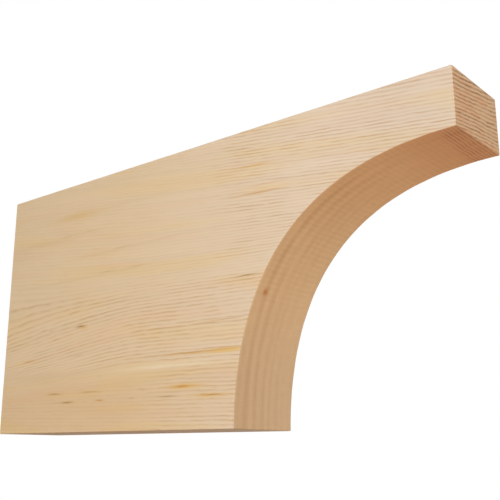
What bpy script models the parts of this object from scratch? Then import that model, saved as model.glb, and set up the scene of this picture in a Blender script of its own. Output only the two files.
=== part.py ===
"""Rafter tail: a block of Douglas fir with a deep cove cut under its nose.

Metres, +Z up. The tail runs along X, from its wall end at -X to its nose at +X, and stands on its flat
underside. The origin is at the bottom centre of its bounding box.
"""

import math

import bmesh
import bpy
from mathutils import Vector
from mathutils.geometry import interpolate_bezier

# The block, planed on all four sides.
LENGTH = 0.6096
HEIGHT = 0.2921
THICKNESS = 0.0889

# The cove: how far it reaches back from the nose, and the upright end face that it leaves at the nose.
COVE_RUN = 0.2366
NOSE_HEIGHT = 0.0551

# The cove leaves the underside straight up and meets the nose running level. Each share says how much of
# its rise, or of its run, the curve's handle takes.
FOOT_HANDLE_SHARE = 0.433
NOSE_HANDLE_SHARE = 0.808
COVE_SEGMENTS = 64

# Every edge is sanded to a small round.
ARRIS_RADIUS = 0.0007
ARRIS_SEGMENTS = 2
ARRIS_LEAST_ANGLE = math.radians(30)

WOOD_COLOUR = (0.74, 0.55, 0.36, 1.0)
WOOD_ROUGHNESS = 0.6


def clear_scene():
    """Removes every object that the file opened with."""
    for thing in list(bpy.data.objects):
        bpy.data.objects.remove(thing, do_unlink=True)


def cove_curve():
    """The cove in side view, from its foot on the underside to the nose's lower edge."""
    nose_x = LENGTH / 2
    foot = Vector((nose_x - COVE_RUN, 0.0, 0.0))
    lip = Vector((nose_x, 0.0, HEIGHT - NOSE_HEIGHT))
    foot_handle = foot + Vector((0.0, 0.0, FOOT_HANDLE_SHARE * lip.z))
    lip_handle = lip - Vector((NOSE_HANDLE_SHARE * COVE_RUN, 0.0, 0.0))
    return interpolate_bezier(foot, foot_handle, lip_handle, lip, COVE_SEGMENTS + 1)


def side_outline():
    """The side view's corners and cove, once round from the wall end's foot."""
    wall_x = -LENGTH / 2
    nose_x = LENGTH / 2
    wall_foot = Vector((wall_x, 0.0, 0.0))
    nose_top = Vector((nose_x, 0.0, HEIGHT))
    wall_top = Vector((wall_x, 0.0, HEIGHT))
    return [wall_foot, *cove_curve(), nose_top, wall_top]


def fir_material():
    """Pale planed Douglas fir, left bare."""
    material = bpy.data.materials.new("planed_fir")
    material.use_nodes = True
    shader = material.node_tree.nodes["Principled BSDF"]
    shader.inputs["Base Color"].default_value = WOOD_COLOUR
    shader.inputs["Roughness"].default_value = WOOD_ROUGHNESS
    shader.inputs["Metallic"].default_value = 0.0
    return material


def sawn_block():
    """The side view's outline, extruded through the block's thickness."""
    near_side = Vector((0.0, -THICKNESS / 2, 0.0))
    bm = bmesh.new()
    rim = [bm.verts.new(point + near_side) for point in side_outline()]
    face = bm.faces.new(rim)
    swept = bmesh.ops.extrude_face_region(bm, geom=[face])["geom"]
    far_rim = [item for item in swept if isinstance(item, bmesh.types.BMVert)]
    bmesh.ops.translate(bm, vec=Vector((0.0, THICKNESS, 0.0)), verts=far_rim)
    bmesh.ops.recalc_face_normals(bm, faces=bm.faces)
    mesh = bpy.data.meshes.new("rafter_tail")
    bm.to_mesh(mesh)
    bm.free()
    return mesh


def build_rafter_tail():
    """The finished tail: the sawn block with its edges sanded round."""
    mesh = sawn_block()
    mesh.shade_smooth()
    mesh.set_sharp_from_angle(angle=ARRIS_LEAST_ANGLE)
    mesh.materials.append(fir_material())
    tail = bpy.data.objects.new("rafter_tail", mesh)
    bpy.context.collection.objects.link(tail)
    arris = tail.modifiers.new("arris", "BEVEL")
    arris.limit_method = "ANGLE"
    arris.angle_limit = ARRIS_LEAST_ANGLE
    arris.width = ARRIS_RADIUS
    arris.segments = ARRIS_SEGMENTS
    return tail


clear_scene()
build_rafter_tail()
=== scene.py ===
import math

import bpy
import numpy as np
from mathutils import Euler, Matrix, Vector


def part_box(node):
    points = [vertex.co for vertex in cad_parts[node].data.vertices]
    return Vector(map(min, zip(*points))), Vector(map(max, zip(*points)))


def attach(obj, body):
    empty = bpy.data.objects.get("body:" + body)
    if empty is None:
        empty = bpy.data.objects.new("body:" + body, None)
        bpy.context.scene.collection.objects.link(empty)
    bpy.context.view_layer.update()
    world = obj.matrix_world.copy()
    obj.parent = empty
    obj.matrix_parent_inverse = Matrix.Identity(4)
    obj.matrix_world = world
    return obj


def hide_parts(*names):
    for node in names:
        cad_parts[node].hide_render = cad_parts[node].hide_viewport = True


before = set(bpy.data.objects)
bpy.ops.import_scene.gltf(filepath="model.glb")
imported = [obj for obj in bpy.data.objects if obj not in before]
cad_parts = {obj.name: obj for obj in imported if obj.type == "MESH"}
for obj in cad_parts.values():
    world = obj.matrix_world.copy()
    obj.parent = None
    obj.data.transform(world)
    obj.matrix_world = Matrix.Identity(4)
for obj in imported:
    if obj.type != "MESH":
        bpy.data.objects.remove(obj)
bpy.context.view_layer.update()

# Rafter tail
# One piece of planed Douglas fir, 24 inches of nominal 4 x 12 timber. It is cross-cut square at both ends,
# a deep cove is sawn up under the nose and cleaned with a cutter, and every edge is sanded to a small round.

block_low, block_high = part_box("rafter_tail")
WALL_X = block_low.x
NOSE_X = block_high.x
HEIGHT = block_high.z
HALF_THICKNESS = block_high.y

# The cove's outline is one cubic curve, upright at its foot and level at the nose. Its handles are as long
# as these shares of its rise and of its run.
COVE_RUN = 0.2366
NOSE_HEIGHT = 0.0551
COVE_RISE = HEIGHT - NOSE_HEIGHT
FOOT_X = NOSE_X - COVE_RUN
FOOT_HANDLE = 0.433 * COVE_RISE
NOSE_HANDLE = 0.808 * COVE_RUN

# The outline's corners are a little rounder than the arrises, so that an arris keeps a width at a corner.
CORNER_RADIUS = 0.0012
ARRIS_RADIUS = 0.0007
ARRIS_WANDER = 0.3
CORNER_STEPS = 4
ARRIS_STEPS = 4

# The side faces are ruled from the lower edge to the top edge. The rulings from the cove fan out over the
# stretch from FAN_X to the nose, and those from the foot's rounded corner take a small share of it.
FAN_X = FOOT_X - 0.10
FOOT_SHARE = 0.004
UNDERSIDE_STEPS = 96
COVE_STEPS = 260
RISE_STEPS = 64
ACROSS_STEPS = 22

# The hand-fed cutter leaves the cove very slightly uneven along its length.
COVE_WAVE_DEPTH = 0.00012
COVE_WAVE_LENGTH = 0.031
COVE_WAVE_SKEW = 9.0
COVE_WAVE_FADE = 0.004

# Just before the nose the cutter chatters, and leaves small ridges straight across the cove.
CHATTER_FROM = 0.352
CHATTER_GROWS = 0.008
CHATTER_LATER_NEAR = 0.009
CHATTER_PITCH = 0.0034
CHATTER_DEPTH = 0.00006
CHATTER_STEPS = 66


def even(steps):
    """Shares of a run from 0 upwards, evenly spaced, with the end left out."""
    return np.linspace(0.0, 1.0, steps, endpoint=False)


def straight(start, end, shares):
    """The points that lie these shares of the way from start to end, and the inward normal of each.

    The outline runs anticlockwise as the near side is seen, so inward is the direction of travel, turned
    left by a right angle.
    """
    start, end = np.asarray(start), np.asarray(end)
    along = (end - start) / np.linalg.norm(end - start)
    inward = np.array([-along[1], along[0]])
    return start + shares[:, None] * (end - start), np.repeat(inward[None, :], len(shares), axis=0)


def corner(centre, start_angle):
    """A quarter circle about centre: centre + radius * (cos a, sin a), as a grows by a right angle."""
    angle = start_angle + even(CORNER_STEPS) * math.pi / 2
    outward = np.stack([np.cos(angle), np.sin(angle)], axis=1)
    return np.asarray(centre) + CORNER_RADIUS * outward, -outward


def cove():
    """The cove's cubic curve: its points, their inward normals and how far along it they lie.

    With t from 0 at the foot to 1 at the lip, a point is (1-t)^3 foot + 3(1-t)^2 t foot_handle
    + 3(1-t) t^2 lip_handle + t^3 lip, and its direction of travel is the derivative by t. The points are
    closer together where the cutter chattered.
    """
    posts = np.array([
        [FOOT_X, 0.0],
        [FOOT_X, FOOT_HANDLE],
        [NOSE_X - NOSE_HANDLE, COVE_RISE],
        [NOSE_X, COVE_RISE],
    ])

    def at(t):
        t = t[:, None]
        shares = np.hstack([(1 - t) ** 3, 3 * (1 - t) ** 2 * t, 3 * (1 - t) * t ** 2, t ** 3])
        return shares @ posts

    fine = np.linspace(0.0, 1.0, 4001)
    curve = at(fine)
    run = np.concatenate([[0.0], np.cumsum(np.linalg.norm(np.diff(curve, axis=0), axis=1))])
    smooth_end = CHATTER_FROM - CORNER_RADIUS
    rough_end = run[-1] - CORNER_RADIUS
    wanted = np.concatenate([
        CORNER_RADIUS + even(COVE_STEPS - CHATTER_STEPS) * (smooth_end - CORNER_RADIUS),
        smooth_end + even(CHATTER_STEPS) * (rough_end - smooth_end),
    ])
    t = np.interp(wanted, run, fine)
    ahead = at(t + 1e-5) - at(t - 1e-5)
    ahead /= np.linalg.norm(ahead, axis=1)[:, None]
    return at(t), np.stack([-ahead[:, 1], ahead[:, 0]], axis=1), wanted


def block_outline():
    """The side view's outline once round, from the middle of the wall end's lower corner.

    Gives the points, their inward normals, how far along the cove each lies (off the cove, the nearer end's
    value), how much of the cove's finish each has, which make the lip, and how many steps the long edges
    and the upright edges take.
    """
    r = CORNER_RADIUS
    half = CORNER_STEPS // 2
    cove_points, cove_inward, cove_along = cove()
    cove_length = cove_along[-1] - cove_along[0] + r
    fan_shares = np.interp(np.arange(COVE_STEPS + half), [0, half], [0.0, FOOT_SHARE])
    fan_shares[half:] = FOOT_SHARE + (1 - FOOT_SHARE) * (cove_along - cove_along[0]) / cove_length
    top_right = np.array([NOSE_X - r, HEIGHT])
    fan_top = np.array([FAN_X, HEIGHT])
    top_left = np.array([WALL_X + r, HEIGHT])
    runs = [
        corner((WALL_X + r, r), math.pi),
        straight((WALL_X + r, 0.0), (FOOT_X - r, 0.0), even(UNDERSIDE_STEPS)),
        corner((FOOT_X - r, r), -math.pi / 2),
        (cove_points, cove_inward),
        corner((NOSE_X - r, COVE_RISE + r), -math.pi / 2),
        straight((NOSE_X, COVE_RISE + r), (NOSE_X, HEIGHT - r), even(RISE_STEPS)),
        corner((NOSE_X - r, HEIGHT - r), 0.0),
        straight(top_right, fan_top, 1 - np.append(1.0, fan_shares[:0:-1])),
        straight(fan_top, top_left, even(UNDERSIDE_STEPS + half)),
        corner((WALL_X + r, HEIGHT - r), math.pi / 2),
        straight((WALL_X, HEIGHT - r), (WALL_X, r), even(RISE_STEPS)),
    ]
    points = np.concatenate([run[0] for run in runs])
    inward = np.concatenate([run[1] for run in runs])
    foot = 2 * CORNER_STEPS + UNDERSIDE_STEPS
    lip = foot + COVE_STEPS
    along = np.zeros(len(points))
    along[foot:lip] = cove_along
    along[lip:] = cove_along[-1]
    ramp = np.linspace(0.0, 1.0, CORNER_STEPS + 2)[1:-1]
    finish = np.zeros(len(points))
    finish[foot - CORNER_STEPS:foot] = ramp
    finish[foot:lip] = 1.0
    finish[lip:lip + CORNER_STEPS] = ramp[::-1]
    at_lip = np.zeros(len(points))
    at_lip[lip:lip + CORNER_STEPS] = 1.0
    low_steps = UNDERSIDE_STEPS + COVE_STEPS + 2 * CORNER_STEPS
    rise_steps = RISE_STEPS + CORNER_STEPS
    return (*(np.roll(row, -half, axis=0) for row in (points, inward, along, finish, at_lip)),
            low_steps, rise_steps)


def ruled_interior(low, nose, top, wall):
    """The points inside a four-sided patch, from its four edges, each given as rows of (x, z).

    low and top run from the wall to the nose, and wall and nose run upwards. A point lies on the straight
    line from its fellow on low to its fellow on top. How far up that line blends, from the wall to the
    nose, from the shares of the height at which wall's points lie to those of nose's points.
    """
    wall_share = (wall[:, 1] - wall[0, 1]) / (wall[-1, 1] - wall[0, 1])
    nose_share = (nose[:, 1] - nose[0, 1]) / (nose[-1, 1] - nose[0, 1])
    to_nose = np.linspace(0.0, 1.0, len(low))[:, None]
    up = ((1 - to_nose) * wall_share + to_nose * nose_share)[:, :, None]
    return ((1 - up) * low[:, None, :] + up * top[:, None, :])[1:-1, 1:-1]


def board_strip(points, inward, along, finish):
    """The rounded board section carried round the outline: its places, its normals and its edge lean.

    Across the thickness the section is a quarter circle of the arris, the flat, and the arris again. At
    angle a on the arris a point lies radius * (1 - sin a) inside the outline and radius * (1 - cos a) in
    from the side face. The arris radius wanders along the outline, by three sine waves. The cove dips by
    a slow cosine wave, and by a short one, not quite straight, where the cutter chattered; the normals
    lean by the slope of that dip. The edge lean is 1 on the flat and 0 where an arris meets its side.
    """
    travel = np.linalg.norm(np.diff(points, axis=0, append=points[:1]), axis=1)
    phase = 2 * math.pi * np.cumsum(travel) / travel.sum()
    wander = 0.5 * np.sin(11 * phase + 0.7) + 0.3 * np.sin(29 * phase + 2.1) + 0.2 * np.sin(47 * phase)
    radius = ARRIS_RADIUS * (1 + ARRIS_WANDER * wander)[:, None]

    angle = np.linspace(0.0, math.pi / 2, ARRIS_STEPS + 1)[None, :]
    inset = radius * (1 - np.sin(angle))
    from_side = radius * (1 - np.cos(angle))
    share = np.linspace(0.0, 1.0, ACROSS_STEPS + 1)[None, 1:-1]
    flat_y = (2 * share - 1) * (HALF_THICKNESS - radius)
    y = np.hstack([from_side - HALF_THICKNESS, flat_y, (HALF_THICKNESS - from_side)[:, ::-1]])
    depth = np.hstack([inset, np.zeros_like(flat_y), inset[:, ::-1]])
    edge_lean = np.hstack([np.sin(angle), np.ones_like(share), np.sin(angle)[:, ::-1]])
    side_lean = np.hstack([-np.cos(angle), np.zeros_like(share), np.cos(angle)[:, ::-1]])

    cove_rows = finish == 1.0
    cove_along = along[cove_rows][:, None]
    cove_y = y[cove_rows]
    to_end = np.minimum(cove_along, cove_along[-1] - cove_along)
    end_fade = np.clip(to_end / COVE_WAVE_FADE, 0.0, 1.0)
    slow = 0.5 - 0.5 * np.cos(2 * math.pi * cove_along / COVE_WAVE_LENGTH + COVE_WAVE_SKEW * cove_y)
    wobble = 0.0006 * np.sin(60 * cove_y + 170 * cove_along) + 0.0003 * np.sin(190 * cove_y)
    short = 0.5 - 0.5 * np.cos(2 * math.pi * (cove_along + wobble) / CHATTER_PITCH)
    chatter_from = CHATTER_FROM + CHATTER_LATER_NEAR * (0.5 - 0.5 * cove_y / HALF_THICKNESS)
    rough = np.clip((cove_along - chatter_from) / CHATTER_GROWS, 0.0, 1.0)
    dip = np.zeros_like(y)
    dip[cove_rows] = end_fade * (COVE_WAVE_DEPTH * slow + CHATTER_DEPTH * short * rough)
    slope = np.zeros_like(y)
    slope[cove_rows] = np.gradient(dip[cove_rows], cove_along[:, 0], axis=0)
    depth = depth + dip

    strip = np.stack([
        points[:, None, 0] + depth * inward[:, None, 0],
        y,
        points[:, None, 1] + depth * inward[:, None, 1],
    ], axis=2)
    normals = np.stack([
        (slope * inward[:, None, 1] - inward[:, None, 0]) * edge_lean,
        np.broadcast_to(side_lean, y.shape),
        (-slope * inward[:, None, 0] - inward[:, None, 1]) * edge_lean,
    ], axis=2)
    normals /= np.linalg.norm(normals, axis=2)[:, :, None]
    return strip, normals, edge_lean


def rafter_tail_mesh():
    """The block: the board strip round the outline, closed by a ruled patch on each side.

    It has four point attributes for the material: how far along the cove a point lies, and how much of it
    is cove, cut end, and face cut nearly along the rings.
    """
    points, inward, along, finish, at_lip, low_steps, rise_steps = block_outline()
    strip, strip_normals, edge_lean = board_strip(points, inward, along, finish)
    count, across = strip.shape[:2]

    rim = np.arange(count)
    corner_at = np.cumsum([0, low_steps, rise_steps, low_steps, rise_steps])
    low = rim[corner_at[0]:corner_at[1] + 1]
    nose = rim[corner_at[1]:corner_at[2] + 1]
    top = rim[corner_at[2]:corner_at[3] + 1][::-1]
    wall = np.append(rim[corner_at[3]:], 0)[::-1]

    def side_grid(column, first_new):
        """The vertex numbers of one side's grid, and the places of its new vertices inside."""
        edge = strip[:, column][:, [0, 2]]
        inside = ruled_interior(edge[low], edge[nose], edge[top], edge[wall])
        new_count = inside.shape[0] * inside.shape[1]
        grid = np.empty((len(low), len(wall)), int)
        grid[:, 0] = low * across + column
        grid[:, -1] = top * across + column
        grid[0, :] = wall * across + column
        grid[-1, :] = nose * across + column
        grid[1:-1, 1:-1] = first_new + np.arange(new_count).reshape(inside.shape[:2])
        places = np.empty((new_count, 3))
        places[:, [0, 2]] = inside.reshape(-1, 2)
        places[:, 1] = strip[0, column, 1]
        return grid, places

    near_grid, near_places = side_grid(0, count * across)
    far_grid, far_places = side_grid(across - 1, count * across + len(near_places))
    strip_grid = np.arange(count * across).reshape(count, across)
    closed = np.vstack([strip_grid, strip_grid[:1]])

    def quads(grid):
        """The faces of a grid of vertex numbers, each taken round its four corners."""
        corners = [grid[:-1, :-1], grid[1:, :-1], grid[1:, 1:], grid[:-1, 1:]]
        return np.stack(corners, axis=-1).reshape(-1, 4)

    faces = np.concatenate([quads(closed)[:, ::-1], quads(near_grid), quads(far_grid)[:, ::-1]])
    places = np.concatenate([strip.reshape(-1, 3), near_places, far_places])
    normals = np.concatenate([
        strip_normals.reshape(-1, 3),
        np.tile([0.0, -1.0, 0.0], (len(near_places), 1)),
        np.tile([0.0, 1.0, 0.0], (len(far_places), 1)),
    ])

    mesh = bpy.data.meshes.new("fir_rafter_tail")
    mesh.vertices.add(len(places))
    mesh.vertices.foreach_set("co", places.ravel())
    mesh.loops.add(faces.size)
    mesh.loops.foreach_set("vertex_index", faces.ravel())
    mesh.polygons.add(len(faces))
    mesh.polygons.foreach_set("loop_start", np.arange(0, faces.size, 4))
    mesh.update(calc_edges=True)
    mesh.shade_smooth()
    mesh.normals_split_custom_set_from_vertices(normals)

    # A rounded edge turns to end grain as it comes to face along the timber. The lip's is all end grain.
    facing_end = np.clip((np.abs(strip_normals[:, :, 0]) - 0.1) / 0.6, 0.0, 1.0)
    for name, rows in [
        ("cove_along", np.repeat(along[:, None], across, axis=1)),
        ("in_cove", finish[:, None] * edge_lean),
        ("end_grain", np.maximum(facing_end, at_lip[:, None] * edge_lean)),
        ("flat_cut", np.abs(strip_normals[:, :, 2]) * (finish == 0.0)[:, None]),
    ]:
        values = np.zeros(len(places))
        values[:count * across] = rows.ravel()
        mesh.attributes.new(name, "FLOAT", "POINT").data.foreach_set("value", values)
    mesh.validate()
    return mesh


class Socket:
    """An output socket of a shader node. Arithmetic on it adds the Math nodes that work it out."""

    def __init__(self, tree, output):
        self.tree = tree
        self.output = output

    def node(self, kind, settings, inputs, give=0):
        """A new node: its settings first, then a value or a link for each input named or numbered."""
        made = self.tree.nodes.new(kind)
        for name, value in settings.items():
            setattr(made, name, value)
        for name, value in inputs.items():
            if isinstance(value, Socket):
                self.tree.links.new(value.output, made.inputs[name])
            else:
                made.inputs[name].default_value = value
        return Socket(self.tree, made.outputs[give])

    def math(self, operation, *others):
        """A Math node of that operation on this and on whatever else it takes."""
        return self.node("ShaderNodeMath", {"operation": operation}, dict(enumerate((self, *others))))

    def __add__(self, other):
        return self.math("ADD", other)

    __radd__ = __add__

    def __sub__(self, other):
        return self.math("SUBTRACT", other)

    def __rsub__(self, other):
        return self.node("ShaderNodeMath", {"operation": "SUBTRACT"}, {0: other, 1: self})

    def __mul__(self, other):
        return self.math("MULTIPLY", other)

    __rmul__ = __mul__

    def __truediv__(self, other):
        return self.math("DIVIDE", other)

    def smooth(self, low, high):
        """0 where this is under low and 1 where it is over high, with an S-shaped step between them."""
        return self.node(
            "ShaderNodeMapRange", {"interpolation_type": "SMOOTHSTEP"},
            {"Value": self, "From Min": low, "From Max": high, "To Min": 0.0, "To Max": 1.0},
        )

    def between(self, starts, full, fades, ends):
        """1 where this lies from full to fades, and 0 under starts and over ends, with S-shaped steps."""
        return self.smooth(starts, full) * (1 - self.smooth(fades, ends))

    def bell(self, steepness):
        """The height of a bell of height 1, where this is the squared distance from its middle.

        The height is e to the power of -steepness times this.
        """
        return (self * -steepness).math("EXPONENT")

    def stretch(self, x, y, z):
        """This place with each coordinate multiplied, so that a pattern read there is squeezed."""
        return self.node("ShaderNodeVectorMath", {"operation": "MULTIPLY"}, {0: self, 1: (x, y, z)})

    def noise(self, seed, detail=2.0, roughness=0.5):
        """Smooth noise at this place, from 0 to 1 about a half; each seed gives another pattern."""
        return self.node(
            "ShaderNodeTexNoise", {"noise_dimensions": "4D"},
            {"Vector": self, "W": seed, "Scale": 1.0, "Detail": detail, "Roughness": roughness}, "Fac",
        )

    def mix(self, low, high):
        """The colour low where this is 0 and high where it is 1."""
        return self.node("ShaderNodeMix", {"data_type": "RGBA"}, {0: self, 6: low, 7: high}, 2)

    def tint(self, colour, shade):
        """The colour multiplied by the shade as far as this says, from 0 for not at all to 1."""
        return self.node("ShaderNodeMix", {"data_type": "RGBA", "blend_type": "MULTIPLY"},
                         {0: self, 6: colour, 7: shade}, 2)


# How the grain lies. Seen from the near side it falls a little towards the nose, and more in the upper
# half. Towards the wall, a band below the middle dips instead. To the far side it rises, and levels out.
DIP_FROM_X = -0.062
DIP_SLOPE = 0.15
DIP_EASE = 0.045
DIP_LESS_ON_END = 0.75
LOW_FALL = 0.02
TOP_FALL = 0.10
FALL_FROM_X = -0.15
RISE_ACROSS = 0.165
RISE_EASES = 0.75


def grain_rise(x, y, z, end_grain):
    """How far the grain lies above the level that it has low on the near side, at FALL_FROM_X.

    Past DIP_FROM_X, towards the wall, the dip is DIP_SLOPE times how far sqrt(distance^2 + DIP_EASE^2)
    exceeds DIP_EASE, faded in by height from 0.03 and out by 0.18, and it is shallow on the wall end. The
    fall is in proportion to the distance along, more so from a height of 0.12. The rise across the timber
    is a parabola that starts at the near side, and nearly a straight line at the top.
    """
    before = (DIP_FROM_X - x).math("MAXIMUM", 0.0)
    bow = (before * before + DIP_EASE ** 2).math("SQRT") - DIP_EASE
    dip = bow * (z.between(0.03, 0.085, 0.10, 0.18) * DIP_SLOPE) * (1 - end_grain * DIP_LESS_ON_END)
    fall = (x - FALL_FROM_X) * (LOW_FALL + TOP_FALL * z.smooth(0.12, 0.225))
    across = y + HALF_THICKNESS
    eases = (1 - z.smooth(0.245, 0.285) * 0.8) * RISE_EASES
    return across * (RISE_ACROSS - across * eases) - dip - fall


# Growth rings to the metre of height, and how many more crowd in near the top.
RINGS_PER_METRE = 246.0
RINGS_CROWD = 3.6

# The top and the underside are cut nearly along the rings, which makes nested arches along their length.
ARCH_SLOPE = 0.07
ARCH_BOW = 4.5
ARCH_Y = 0.006


def growth_rings(place, x, y, z, end_grain, flat_cut):
    """How the rings run: their sway and jitter, the height in the grain, the latewood, and its strength.

    The height in the grain is z less the grain's rise, slightly wavy. On the top and the underside it is
    instead z, plus ARCH_SLOPE times x, plus ARCH_BOW times the squared distance across from ARCH_Y, with
    edges drawn out along the fibres. Every whole step of the height times RINGS_PER_METRE is a ring. Its
    latewood darkens slowly and ends sharply, with a strength of its own.
    """
    sway = place.stretch(2.5, 6.0, 7.0).noise(3.1) - 0.5
    ripple = place.stretch(11.0, 40.0, 60.0).noise(7.7, detail=1.0) - 0.5
    jitter = place.stretch(58.0, 120.0, 150.0).noise(6.1, detail=1.0) - 0.5
    drawn_out = place.stretch(11.0, 330.0, 1.0).noise(4.4, roughness=0.6) - 0.5
    height = z - grain_rise(x, y, z, end_grain) + sway * 0.006 + ripple * 0.0018 + jitter * 0.0019
    arch_y = y - ARCH_Y + sway * 0.05
    arches = z + x * ARCH_SLOPE + arch_y * arch_y * ARCH_BOW + sway * 0.008 + drawn_out * 0.0022
    height = height + (arches - height) * flat_cut
    rings = height * RINGS_PER_METRE + height.smooth(0.24, 0.335) * RINGS_CROWD
    whole = rings.math("FLOOR")
    latewood = rings.math("FRACT").between(0.35, 0.80, 0.90, 1.0)
    strength = whole.node("ShaderNodeTexWhiteNoise", {"noise_dimensions": "1D"}, {"W": whole}, "Value")
    return sway, jitter, height, latewood, strength


def ring_shades(grain, x, y, z, height, flat_cut, latewood, strength):
    """How dark the rings show on long grain, and how dark on the ends.

    On long grain they are clear in a band at mid height, towards the nose and, less so, by the cove's
    foot, faint elsewhere, and patchy and broken all over. The top and the underside lie in between.
    """
    patchy = grain.stretch(9.0, 40.0, 55.0).noise(5.2, detail=1.0).smooth(0.30, 0.62)
    broken = grain.stretch(52.0, 130.0, 300.0).noise(12.6).smooth(0.32, 0.66)
    broken = broken.math("MAXIMUM", flat_cut * 0.8)
    middle = z.smooth(0.060, 0.080) * (1 - height.smooth(0.142, 0.168))
    towards_nose = x.smooth(0.02, 0.085)
    by_foot = x.smooth(-0.07, 0.0) * (1 - z.smooth(0.14, 0.18))
    clear = middle.math("MAXIMUM", towards_nose.math("MAXIMUM", by_foot * 0.65))
    clear = clear + (0.45 - clear) * flat_cut
    shown = (0.30 + 0.70 * clear) * (0.45 + 0.55 * patchy) * (0.25 + 0.75 * broken) * (0.5 + 0.5 * strength)
    side_ring = latewood * shown * 1.3
    end_ring = latewood * (0.45 + 0.55 * strength) * (0.5 + 0.5 * broken)
    end_ring = end_ring * (0.95 + 0.15 * z.smooth(0.25, 0.275)) * (1 - 0.18 * y.smooth(-0.01, 0.04))
    return side_ring, end_ring


# Linear colours of long grain, which is yellower at the wall end and paler at the nose, and of its pitch.
# A tone is what the colour is multiplied by: in warm patches, low down, at the tip, and a painted shade
# underneath.
PALE_LEFT = (0.734, 0.549, 0.351, 1.0)
PALE_RIGHT = (0.724, 0.588, 0.459, 1.0)
RING_LEFT = (0.605, 0.403, 0.218, 1.0)
RING_RIGHT = (0.590, 0.398, 0.256, 1.0)
PITCH = (0.56, 0.27, 0.060, 1.0)
YELLOW_TONE = (1.0, 0.978, 0.865, 1.0)
PINK_TONE = (1.0, 0.965, 0.95, 1.0)
LOW_TONE = (0.95, 0.905, 0.835, 1.0)
TIP_TONE = (0.945, 0.938, 0.925, 1.0)
UNDER_PAINTED_SHADE = (0.57, 0.48, 0.43, 1.0)
UNDER_PAINTED_SHADE_HEIGHT = 0.0008


def long_grain_colour(grain, x, z, sway, side_ring):
    """The wood's colour along the grain: rings on pale wood, the tones, the painted shade underneath, short
    dashes and pitch flecks.
    """
    yellow = grain.stretch(5.0, 18.0, 45.0).noise(2.4).smooth(0.48, 0.68)
    pink = grain.stretch(6.0, 18.0, 70.0).noise(8.8).smooth(0.50, 0.66)
    dashes = grain.stretch(60.0, 1400.0, 1400.0).noise(11.0, detail=0.0).smooth(0.74, 0.82)
    low = (z + sway * 0.05).between(-0.01, 0.015, 0.035, 0.08) * (1 - x.smooth(-0.11, 0.03) * 0.5)
    paler = (x + sway * 0.12).smooth(-0.16, 0.30)
    ring = paler.mix(RING_LEFT, RING_RIGHT)
    colour = side_ring.mix(paler.mix(PALE_LEFT, PALE_RIGHT), ring)
    colour = low.tint(colour, LOW_TONE)
    colour = yellow.tint(colour, YELLOW_TONE)
    colour = pink.tint(colour, PINK_TONE)
    colour = x.smooth(0.16, 0.26).tint(colour, TIP_TONE)
    colour = (dashes * 0.4).mix(colour, ring)
    # Painted shade: the underside is darkened to stand in for the shadow under the block.
    colour = (1 - z.smooth(0.0, UNDER_PAINTED_SHADE_HEIGHT)).tint(colour, UNDER_PAINTED_SHADE)

    # Small pitch flecks lie in a low band all through the timber.
    flecks = grain.stretch(75.0, 300.0, 420.0).noise(17.3, detail=1.0).smooth(0.66, 0.76)
    fleck_band = z.between(0.024, 0.032, 0.042, 0.052)
    return (flecks * fleck_band * 0.30).mix(colour, PITCH)


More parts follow.
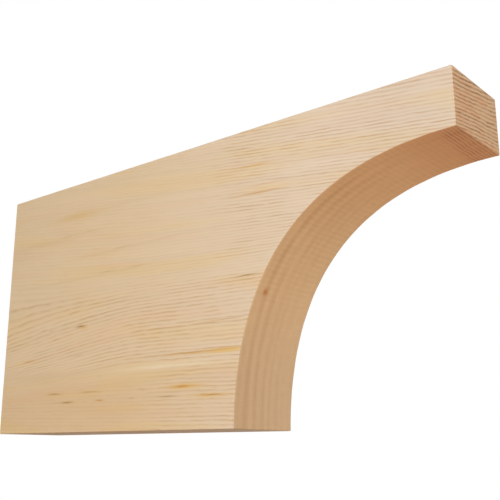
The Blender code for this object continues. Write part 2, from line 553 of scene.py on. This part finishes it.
# The larger marks of the near side, each with its colour: darker and paler bands, golden stains, pitch
# streaks and brown flecks. A row gives a mark's distance from the wall end, its height, length and
# thickness, how much it rises in a metre, and its strength.
TAN = (0.60, 0.42, 0.24, 1.0)
GOLD = (0.74, 0.47, 0.150, 1.0)
CREAM = (0.83, 0.70, 0.50, 1.0)
BROWN = (0.35, 0.19, 0.052, 1.0)
NEAR_SIDE_MARKS = [
    (TAN, [
        (0.125, 0.2518, 0.080, 0.0090, 0.00, 0.36),
        (0.115, 0.2512, 0.270, 0.0040, 0.00, 0.20),
        (0.060, 0.2266, 0.160, 0.0070, 0.00, 0.30),
        (0.195, 0.1990, 0.190, 0.0040, 0.00, 0.24),
        (0.110, 0.1740, 0.230, 0.0030, 0.00, 0.24),
        (0.075, 0.0640, 0.180, 0.0100, 0.00, 0.28),
    ]),
    (GOLD, [
        (0.130, 0.2515, 0.070, 0.0100, -0.02, 0.42),
        (0.085, 0.2290, 0.150, 0.0070, -0.02, 0.14),
        (0.170, 0.1985, 0.075, 0.0110, -0.03, 0.16),
        (0.149, 0.1155, 0.018, 0.0050, 0.00, 0.34),
        (0.036, 0.0830, 0.044, 0.0050, 0.05, 0.25),
        (0.334, 0.0742, 0.100, 0.0030, 0.00, 0.35),
        (0.364, 0.0738, 0.050, 0.0042, 0.00, 0.95),
        (0.308, 0.0420, 0.042, 0.0050, 0.00, 0.85),
        (0.342, 0.0322, 0.042, 0.0042, 0.00, 0.60),
        (0.105, 0.0430, 0.034, 0.0040, 0.00, 0.30),
        (0.135, 0.0332, 0.034, 0.0034, 0.00, 0.30),
        (0.220, 0.0240, 0.090, 0.0080, 0.00, 0.22),
        (0.415, 0.2260, 0.060, 0.0050, -0.06, 0.35),
        (0.402, 0.2520, 0.034, 0.0040, -0.06, 0.30),
    ]),
    (CREAM, [
        (0.285, 0.0637, 0.130, 0.0060, 0.00, 0.55),
        (0.236, 0.0637, 0.034, 0.0060, 0.00, 0.30),
    ]),
    (PITCH, [
        (0.320, 0.0748, 0.100, 0.0014, 0.00, 0.70),
        (0.364, 0.0747, 0.030, 0.0014, 0.00, 0.45),
        (0.345, 0.1034, 0.060, 0.0012, 0.00, 0.35),
        (0.306, 0.0421, 0.024, 0.0024, 0.00, 0.85),
        (0.318, 0.0424, 0.026, 0.0014, -0.01, 0.45),
        (0.345, 0.0325, 0.024, 0.0016, 0.01, 0.60),
        (0.334, 0.0335, 0.010, 0.0014, 0.00, 0.60),
        (0.182, 0.0332, 0.012, 0.0016, 0.00, 0.85),
        (0.166, 0.0431, 0.028, 0.0014, 0.00, 0.70),
        (0.052, 0.0842, 0.022, 0.0018, 0.10, 0.60),
        (0.240, 0.1028, 0.016, 0.0014, 0.10, 0.35),
        (0.148, 0.1158, 0.010, 0.0022, 0.00, 0.35),
        (0.402, 0.2233, 0.046, 0.0017, -0.05, 0.75),
        (0.412, 0.2305, 0.050, 0.0013, -0.05, 0.40),
        (0.398, 0.2525, 0.036, 0.0013, -0.05, 0.45),
        (0.390, 0.2430, 0.020, 0.0012, -0.05, 0.30),
        (0.352, 0.0645, 0.020, 0.0012, 0.00, 0.20),
    ]),
    (BROWN, [
        (0.388, 0.1433, 0.022, 0.0014, 0.00, 0.80),
        (0.347, 0.0326, 0.016, 0.0014, 0.01, 0.45),
        (0.144, 0.1176, 0.015, 0.0016, 0.02, 1.00),
        (0.126, 0.0332, 0.020, 0.0018, 0.00, 0.80),
        (0.102, 0.0432, 0.022, 0.0017, 0.00, 0.65),
        (0.112, 0.0333, 0.034, 0.0011, 0.00, 0.30),
        (0.286, 0.0331, 0.022, 0.0015, 0.00, 0.60),
        (0.232, 0.0335, 0.010, 0.0013, 0.00, 0.35),
        (0.247, 0.0424, 0.012, 0.0013, 0.00, 0.30),
        (0.075, 0.1184, 0.012, 0.0013, 0.08, 0.42),
        (0.090, 0.1172, 0.010, 0.0012, 0.08, 0.32),
        (0.100, 0.1060, 0.012, 0.0012, 0.10, 0.30),
        (0.046, 0.0838, 0.014, 0.0013, 0.10, 0.30),
        (0.313, 0.0752, 0.034, 0.0009, 0.00, 0.35),
        (0.260, 0.0750, 0.026, 0.0009, 0.00, 0.35),
        (0.366, 0.1036, 0.026, 0.0009, 0.00, 0.32),
        (0.142, 0.0845, 0.014, 0.0011, 0.08, 0.30),
        (0.184, 0.1762, 0.020, 0.0012, 0.00, 0.28),
        (0.210, 0.2005, 0.024, 0.0013, 0.00, 0.22),
        (0.276, 0.2002, 0.044, 0.0011, 0.00, 0.18),
        (0.150, 0.2292, 0.020, 0.0013, 0.00, 0.25),
        (0.112, 0.2294, 0.022, 0.0014, 0.00, 0.20),
        (0.232, 0.1750, 0.022, 0.0012, 0.00, 0.22),
    ]),
]
MARK_STEEPNESS = 0.9

# How far below the surface the marks begin to fade, and how far below it they are gone.
MARK_FADES = 0.0008
MARK_DEPTH = 0.004


def near_side_marks(colour, grain, x, y, z, jitter):
    """The colour with the near side's marks on it, and how strongly any mark shows.

    A mark is a bell about its middle, with its distance along counted in half lengths and its distance
    across in half thicknesses.
    """
    at_near_side = 1 - (y + HALF_THICKNESS).smooth(MARK_FADES, MARK_DEPTH)
    uneven = 0.75 + 0.5 * grain.stretch(110.0, 400.0, 900.0).noise(19.6, detail=1.0)
    marked = None
    for shade, rows in NEAR_SIDE_MARKS:
        marks = None
        for from_wall, level, length, thickness, rise, much in rows:
            along = x - (WALL_X + from_wall)
            lengthwise = along / (0.5 * length)
            sideways = (z - level - along * rise + jitter * 0.0014) / (0.5 * thickness)
            mark = (lengthwise * lengthwise + sideways * sideways).bell(MARK_STEEPNESS) * much
            marks = mark if marks is None else marks.math("MAXIMUM", mark)
        marks = marks * at_near_side * uneven
        marked = marks if marked is None else marked.math("MAXIMUM", marks)
        colour = marks.math("MINIMUM", 1.0).mix(colour, shade)
    return colour, marked


# Linear colours along the cove from its foot, those of the cutter's traces in it, and a warmer tone before
# the ridges. The deeper, warmer orange towards the lip is partly the wood's own colour and partly painted
# light: it stands in for warm light bounced inside the cove.
COVE_FOOT = (0.468, 0.308, 0.173, 1.0)
COVE_MIDDLE = (0.522, 0.320, 0.161, 1.0)
COVE_LIP = (0.618, 0.326, 0.141, 1.0)
COVE_DARK = (0.86, 0.78, 0.70, 1.0)
CHATTER_DARK = (0.72, 0.56, 0.44, 1.0)
CHATTER_WARM = (0.945, 0.815, 0.735, 1.0)
CHATTER_WARM_BEFORE = 0.068
CHATTER_WARM_AFTER = 0.010

# Bands that the cutter left along the cove: how far each is from the near side, its half width, how strong.
CUTTER_BANDS = [
    (0.0042, 0.0036, 0.40),
    (0.0146, 0.0038, 0.85),
    (0.0284, 0.0036, 0.66),
    (0.0416, 0.0034, 0.50),
    (0.0520, 0.0026, 0.28),
    (0.0630, 0.0028, 0.24),
]
BAND_STEEPNESS = 0.8
SCALLOP_PITCH = 0.0057

# The pin knot in the cove: its colour, how far along the cove from its foot, where across it, its size
# and its strength.
KNOT = (0.36, 0.125, 0.030, 1.0)
KNOT_ALONG = 0.1312
KNOT_Y = -0.0315
KNOT_RADIUS = 0.0033
KNOT_STRENGTH = 0.95


def cove_finish(place, cove_along, y, side_ring):
    """The cove's colour, and how much lighter or darker it is from place to place.

    The cove is cut across the fibres, so its rings are blurred. The cutter left bands along it, faint
    scallops across it and, near the nose, ridges. The scallops are a sine wave along it, the ridges a
    cosine wave, and the bands and the knot are bells.
    """
    track = place.node("ShaderNodeCombineXYZ", {}, {0: cove_along, 1: y})
    wander = track.stretch(9.0, 25.0, 1.0).noise(21.0) - 0.5
    across = y + HALF_THICKNESS + wander * 0.007
    bands = None
    for from_side, half_width, much in CUTTER_BANDS:
        sideways = (across - from_side) / half_width
        band = (sideways * sideways).bell(BAND_STEEPNESS) * much
        bands = band if bands is None else bands + band
    worn = track.stretch(14.0, 60.0, 1.0).noise(22.0, detail=1.0).smooth(0.3, 0.6)
    kept = 0.40 + 0.60 * worn.math("MAXIMUM", 1 - cove_along.smooth(0.04, 0.13))
    kept = kept * (1 - 0.7 * cove_along.smooth(0.26, 0.32))

    wobble = track.stretch(45.0, 60.0, 1.0).noise(25.0) - 0.5
    chatter_along = cove_along - CHATTER_LATER_NEAR * (0.5 - y * (0.5 / HALF_THICKNESS))
    ridges = 0.5 - 0.5 * ((cove_along + wobble * 0.0034) * (2 * math.pi / CHATTER_PITCH)).math("COSINE")
    rough = chatter_along.smooth(CHATTER_FROM - 0.002, CHATTER_FROM + CHATTER_GROWS)
    ridges = ridges.smooth(0.2, 1.0) * rough * (0.35 + 0.65 * worn)
    warmed = chatter_along.smooth(CHATTER_FROM - CHATTER_WARM_BEFORE, CHATTER_FROM + CHATTER_WARM_AFTER)
    knot_along = (cove_along - KNOT_ALONG) / KNOT_RADIUS
    knot_across = (y - KNOT_Y) / KNOT_RADIUS
    knot = (knot_along * knot_along + knot_across * knot_across).bell(MARK_STEEPNESS) * KNOT_STRENGTH

    # Partly painted light: the colour deepens to orange towards the lip, standing in for warm light bounced
    # inside the cove.
    colour = cove_along.smooth(0.02, 0.19).mix(COVE_FOOT, COVE_MIDDLE)
    colour = cove_along.smooth(0.15, 0.32).mix(colour, COVE_LIP)
    colour = (bands * kept + side_ring * 0.12).tint(colour, COVE_DARK)
    # Partly painted light too: the warmer, darker tone just before the ridges.
    colour = warmed.tint(colour, CHATTER_WARM)
    colour = ridges.tint(colour, CHATTER_DARK)
    colour = knot.mix(colour, KNOT)

    fine_bands = track.stretch(7.0, 420.0, 1.0).noise(23.0, detail=1.0) - 0.5
    broad_bands = track.stretch(8.0, 190.0, 1.0).noise(27.0, detail=1.0) - 0.5
    mottle = track.stretch(120.0, 160.0, 1.0).noise(28.0) - 0.5
    scallops = ((cove_along + wobble * 0.004) * (2 * math.pi / SCALLOP_PITCH)).math("SINE")
    scallops = scallops * cove_along.smooth(0.08, 0.16) * (0.3 + 0.7 * worn)
    return colour, fine_bands * 0.08 + broad_bands * 0.10 + mottle * 0.11 + scallops * 0.028


# Linear colours of the cut ends, which are browner: pale wood, rings, and the tone of redder patches.
END_PALE = (0.484, 0.303, 0.172, 1.0)
END_RING = (0.175, 0.093, 0.043, 1.0)
END_BLUSH = (1.0, 0.90, 0.84, 1.0)

# How the bare surface shines: dull wood, with rings and marks a little glossier, and a faint relief.
WOOD_ROUGHNESS = 0.60
RING_GLOSS = 0.08
MARK_GLOSS = 0.12
WOOD_SPECULAR = 0.3
RELIEF_STRENGTH = 0.2
RELIEF_DEPTH = 0.0002


def fir_material():
    """Bare fir, as one solid piece of wood, for the whole block.

    The sides, the cove and the ends show where they cut the same rings and fibres. The top and the
    underside show rings of their own.
    """
    material = bpy.data.materials.new("planed_fir")
    material.use_nodes = True
    tree = material.node_tree
    shader = tree.nodes["Principled BSDF"]
    coordinates = tree.nodes.new("ShaderNodeTexCoord")
    place = Socket(tree, coordinates.outputs["Object"])
    x, y, z = (place.node("ShaderNodeSeparateXYZ", {}, {0: place}, axis) for axis in range(3))
    end_grain, in_cove, cove_along, flat_cut = (
        place.node("ShaderNodeAttribute", {"attribute_name": name}, {}, "Fac")
        for name in ("end_grain", "in_cove", "cove_along", "flat_cut")
    )
    sway, jitter, height, latewood, strength = growth_rings(place, x, y, z, end_grain, flat_cut)

    # The grain's own space: along the trunk, across it, and by height in the grain. On the top and the
    # underside the height is the plain one.
    layer = height + (z - height) * flat_cut
    grain = place.node("ShaderNodeCombineXYZ", {}, {0: x, 1: y, 2: layer})
    side_ring, end_ring = ring_shades(grain, x, y, z, height, flat_cut, latewood, strength)

    long_grain = long_grain_colour(grain, x, z, sway, side_ring)
    long_grain, marked = near_side_marks(long_grain, grain, x, y, z, jitter)
    blush = place.stretch(60.0, 60.0, 160.0).noise(14.0, detail=1.0).smooth(0.45, 0.65)
    end_colour = blush.tint(end_ring.mix(END_PALE, END_RING), END_BLUSH)
    cove_colour, cove_shade = cove_finish(place, cove_along, y, side_ring)
    colour = end_grain.mix(long_grain, end_colour)
    colour = in_cove.mix(colour, cove_colour)

    # Fibres and broader streaks, drawn out along the grain, lighten and darken the wood.
    fibre = grain.stretch(16.0, 700.0, 700.0).noise(1.3, roughness=0.6) - 0.5
    streak = grain.stretch(6.0, 130.0, 170.0).noise(9.4) - 0.5
    shade = 1 + fibre * 0.08 + streak * 0.08 + in_cove * cove_shade
    colour = place.node("ShaderNodeVectorMath", {"operation": "SCALE"}, {0: colour, "Scale": shade})
    tree.links.new(colour.output, shader.inputs["Base Color"])

    roughness = WOOD_ROUGHNESS - RING_GLOSS * side_ring - MARK_GLOSS * marked
    tree.links.new(roughness.output, shader.inputs["Roughness"])
    shader.inputs["Specular IOR Level"].default_value = WOOD_SPECULAR

    relief = side_ring * 0.5 + fibre * 0.4
    bump = place.node(
        "ShaderNodeBump", {}, {"Strength": RELIEF_STRENGTH, "Distance": RELIEF_DEPTH, "Height": relief},
    )
    tree.links.new(bump.output, shader.inputs["Normal"])
    return material


rafter_tail = bpy.data.objects.new("fir_rafter_tail", rafter_tail_mesh())
bpy.context.scene.collection.objects.link(rafter_tail)
rafter_tail.data.materials.append(fir_material())
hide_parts("rafter_tail")
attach(rafter_tail, "root")

# Studio
# A round pale table well below the part, which the photo's low camera doesn't see, a white surround, and
# three broad soft lights: one at the front, towards the nose, one beyond the nose, and one behind, for the
# sides that the photo doesn't show.

FLOOR_Z = -0.22
FLOOR_RADIUS = 1.5
FLOOR_SIDES = 96
FLOOR_COLOUR = (0.76, 0.71, 0.64, 1.0)
FLOOR_ROUGHNESS = 0.9
SURROUND_GLOW = 0.30
LIGHT_SIDE = 1.5
LIGHT_FAR = 2.4
LIGHT_AIM = Vector((0.05, 0.0, 0.15))
FRONT_LIGHT = Vector((0.50, -0.84, 0.20))
FRONT_POWER = 36.8
END_LIGHT = Vector((0.97, -0.20, 0.15))
END_POWER = 30.2
BACK_LIGHT = Vector((-0.62, 0.78, 0.62))
BACK_POWER = 44.0

bpy.ops.mesh.primitive_circle_add(
    vertices=FLOOR_SIDES, radius=FLOOR_RADIUS, fill_type="NGON", location=(0.0, 0.0, FLOOR_Z),
)
floor = bpy.context.object
floor.name = "floor"
floor_material = bpy.data.materials.new("pale_floor")
floor_material.use_nodes = True
floor_shader = floor_material.node_tree.nodes["Principled BSDF"]
floor_shader.inputs["Base Color"].default_value = FLOOR_COLOUR
floor_shader.inputs["Roughness"].default_value = FLOOR_ROUGHNESS
floor.data.materials.append(floor_material)

# The surround is full white to the camera, and dimmer as a light.
world = bpy.data.worlds.new("white_surround")
bpy.context.scene.world = world
world.use_nodes = True
surround = world.node_tree
background = surround.nodes["Background"]
sight = surround.nodes.new("ShaderNodeLightPath")
glow = surround.nodes.new("ShaderNodeMapRange")
glow.inputs["To Min"].default_value = SURROUND_GLOW
glow.inputs["To Max"].default_value = 1.0
surround.links.new(sight.outputs["Is Camera Ray"], glow.inputs["Value"])
surround.links.new(glow.outputs["Result"], background.inputs["Strength"])
background.inputs["Color"].default_value = (1.0, 1.0, 1.0, 1.0)

for name, direction, power in [
    ("front_light", FRONT_LIGHT, FRONT_POWER),
    ("end_light", END_LIGHT, END_POWER),
    ("back_light", BACK_LIGHT, BACK_POWER),
]:
    lamp = bpy.data.objects.new(name, bpy.data.lights.new(name, "AREA"))
    lamp.data.energy = power
    lamp.data.size = LIGHT_SIDE
    lamp.location = LIGHT_AIM + direction.normalized() * LIGHT_FAR
    lamp.rotation_euler = (-direction).to_track_quat("-Z", "Y").to_euler()
    bpy.context.scene.collection.objects.link(lamp)

# The photo's camera, solved from the block's edges: it stands low in front of the nose and looks up.
CAMERA_AT = Vector((0.55825, -0.62248, -0.02139))
CAMERA_TURN = math.radians(40.179)
CAMERA_RISE = math.radians(14.952)
CAMERA_ROLL = math.radians(0.159)
LENS = 57.53
SENSOR = 36.0
SHIFT_X = 0.0280
SHIFT_Y = -0.0208

camera = bpy.data.objects.new("camera", bpy.data.cameras.new("camera"))
camera.data.lens = LENS
camera.data.sensor_width = SENSOR
camera.data.shift_x = SHIFT_X
camera.data.shift_y = SHIFT_Y
camera.location = CAMERA_AT
aim = Euler((math.pi / 2 + CAMERA_RISE, 0.0, CAMERA_TURN)).to_matrix()
roll = Euler((0.0, 0.0, CAMERA_ROLL)).to_matrix()
camera.rotation_euler = (aim @ roll).to_euler()
bpy.context.scene.collection.objects.link(camera)
bpy.context.scene.camera = camera
bpy.context.scene.view_settings.view_transform = "Standard"
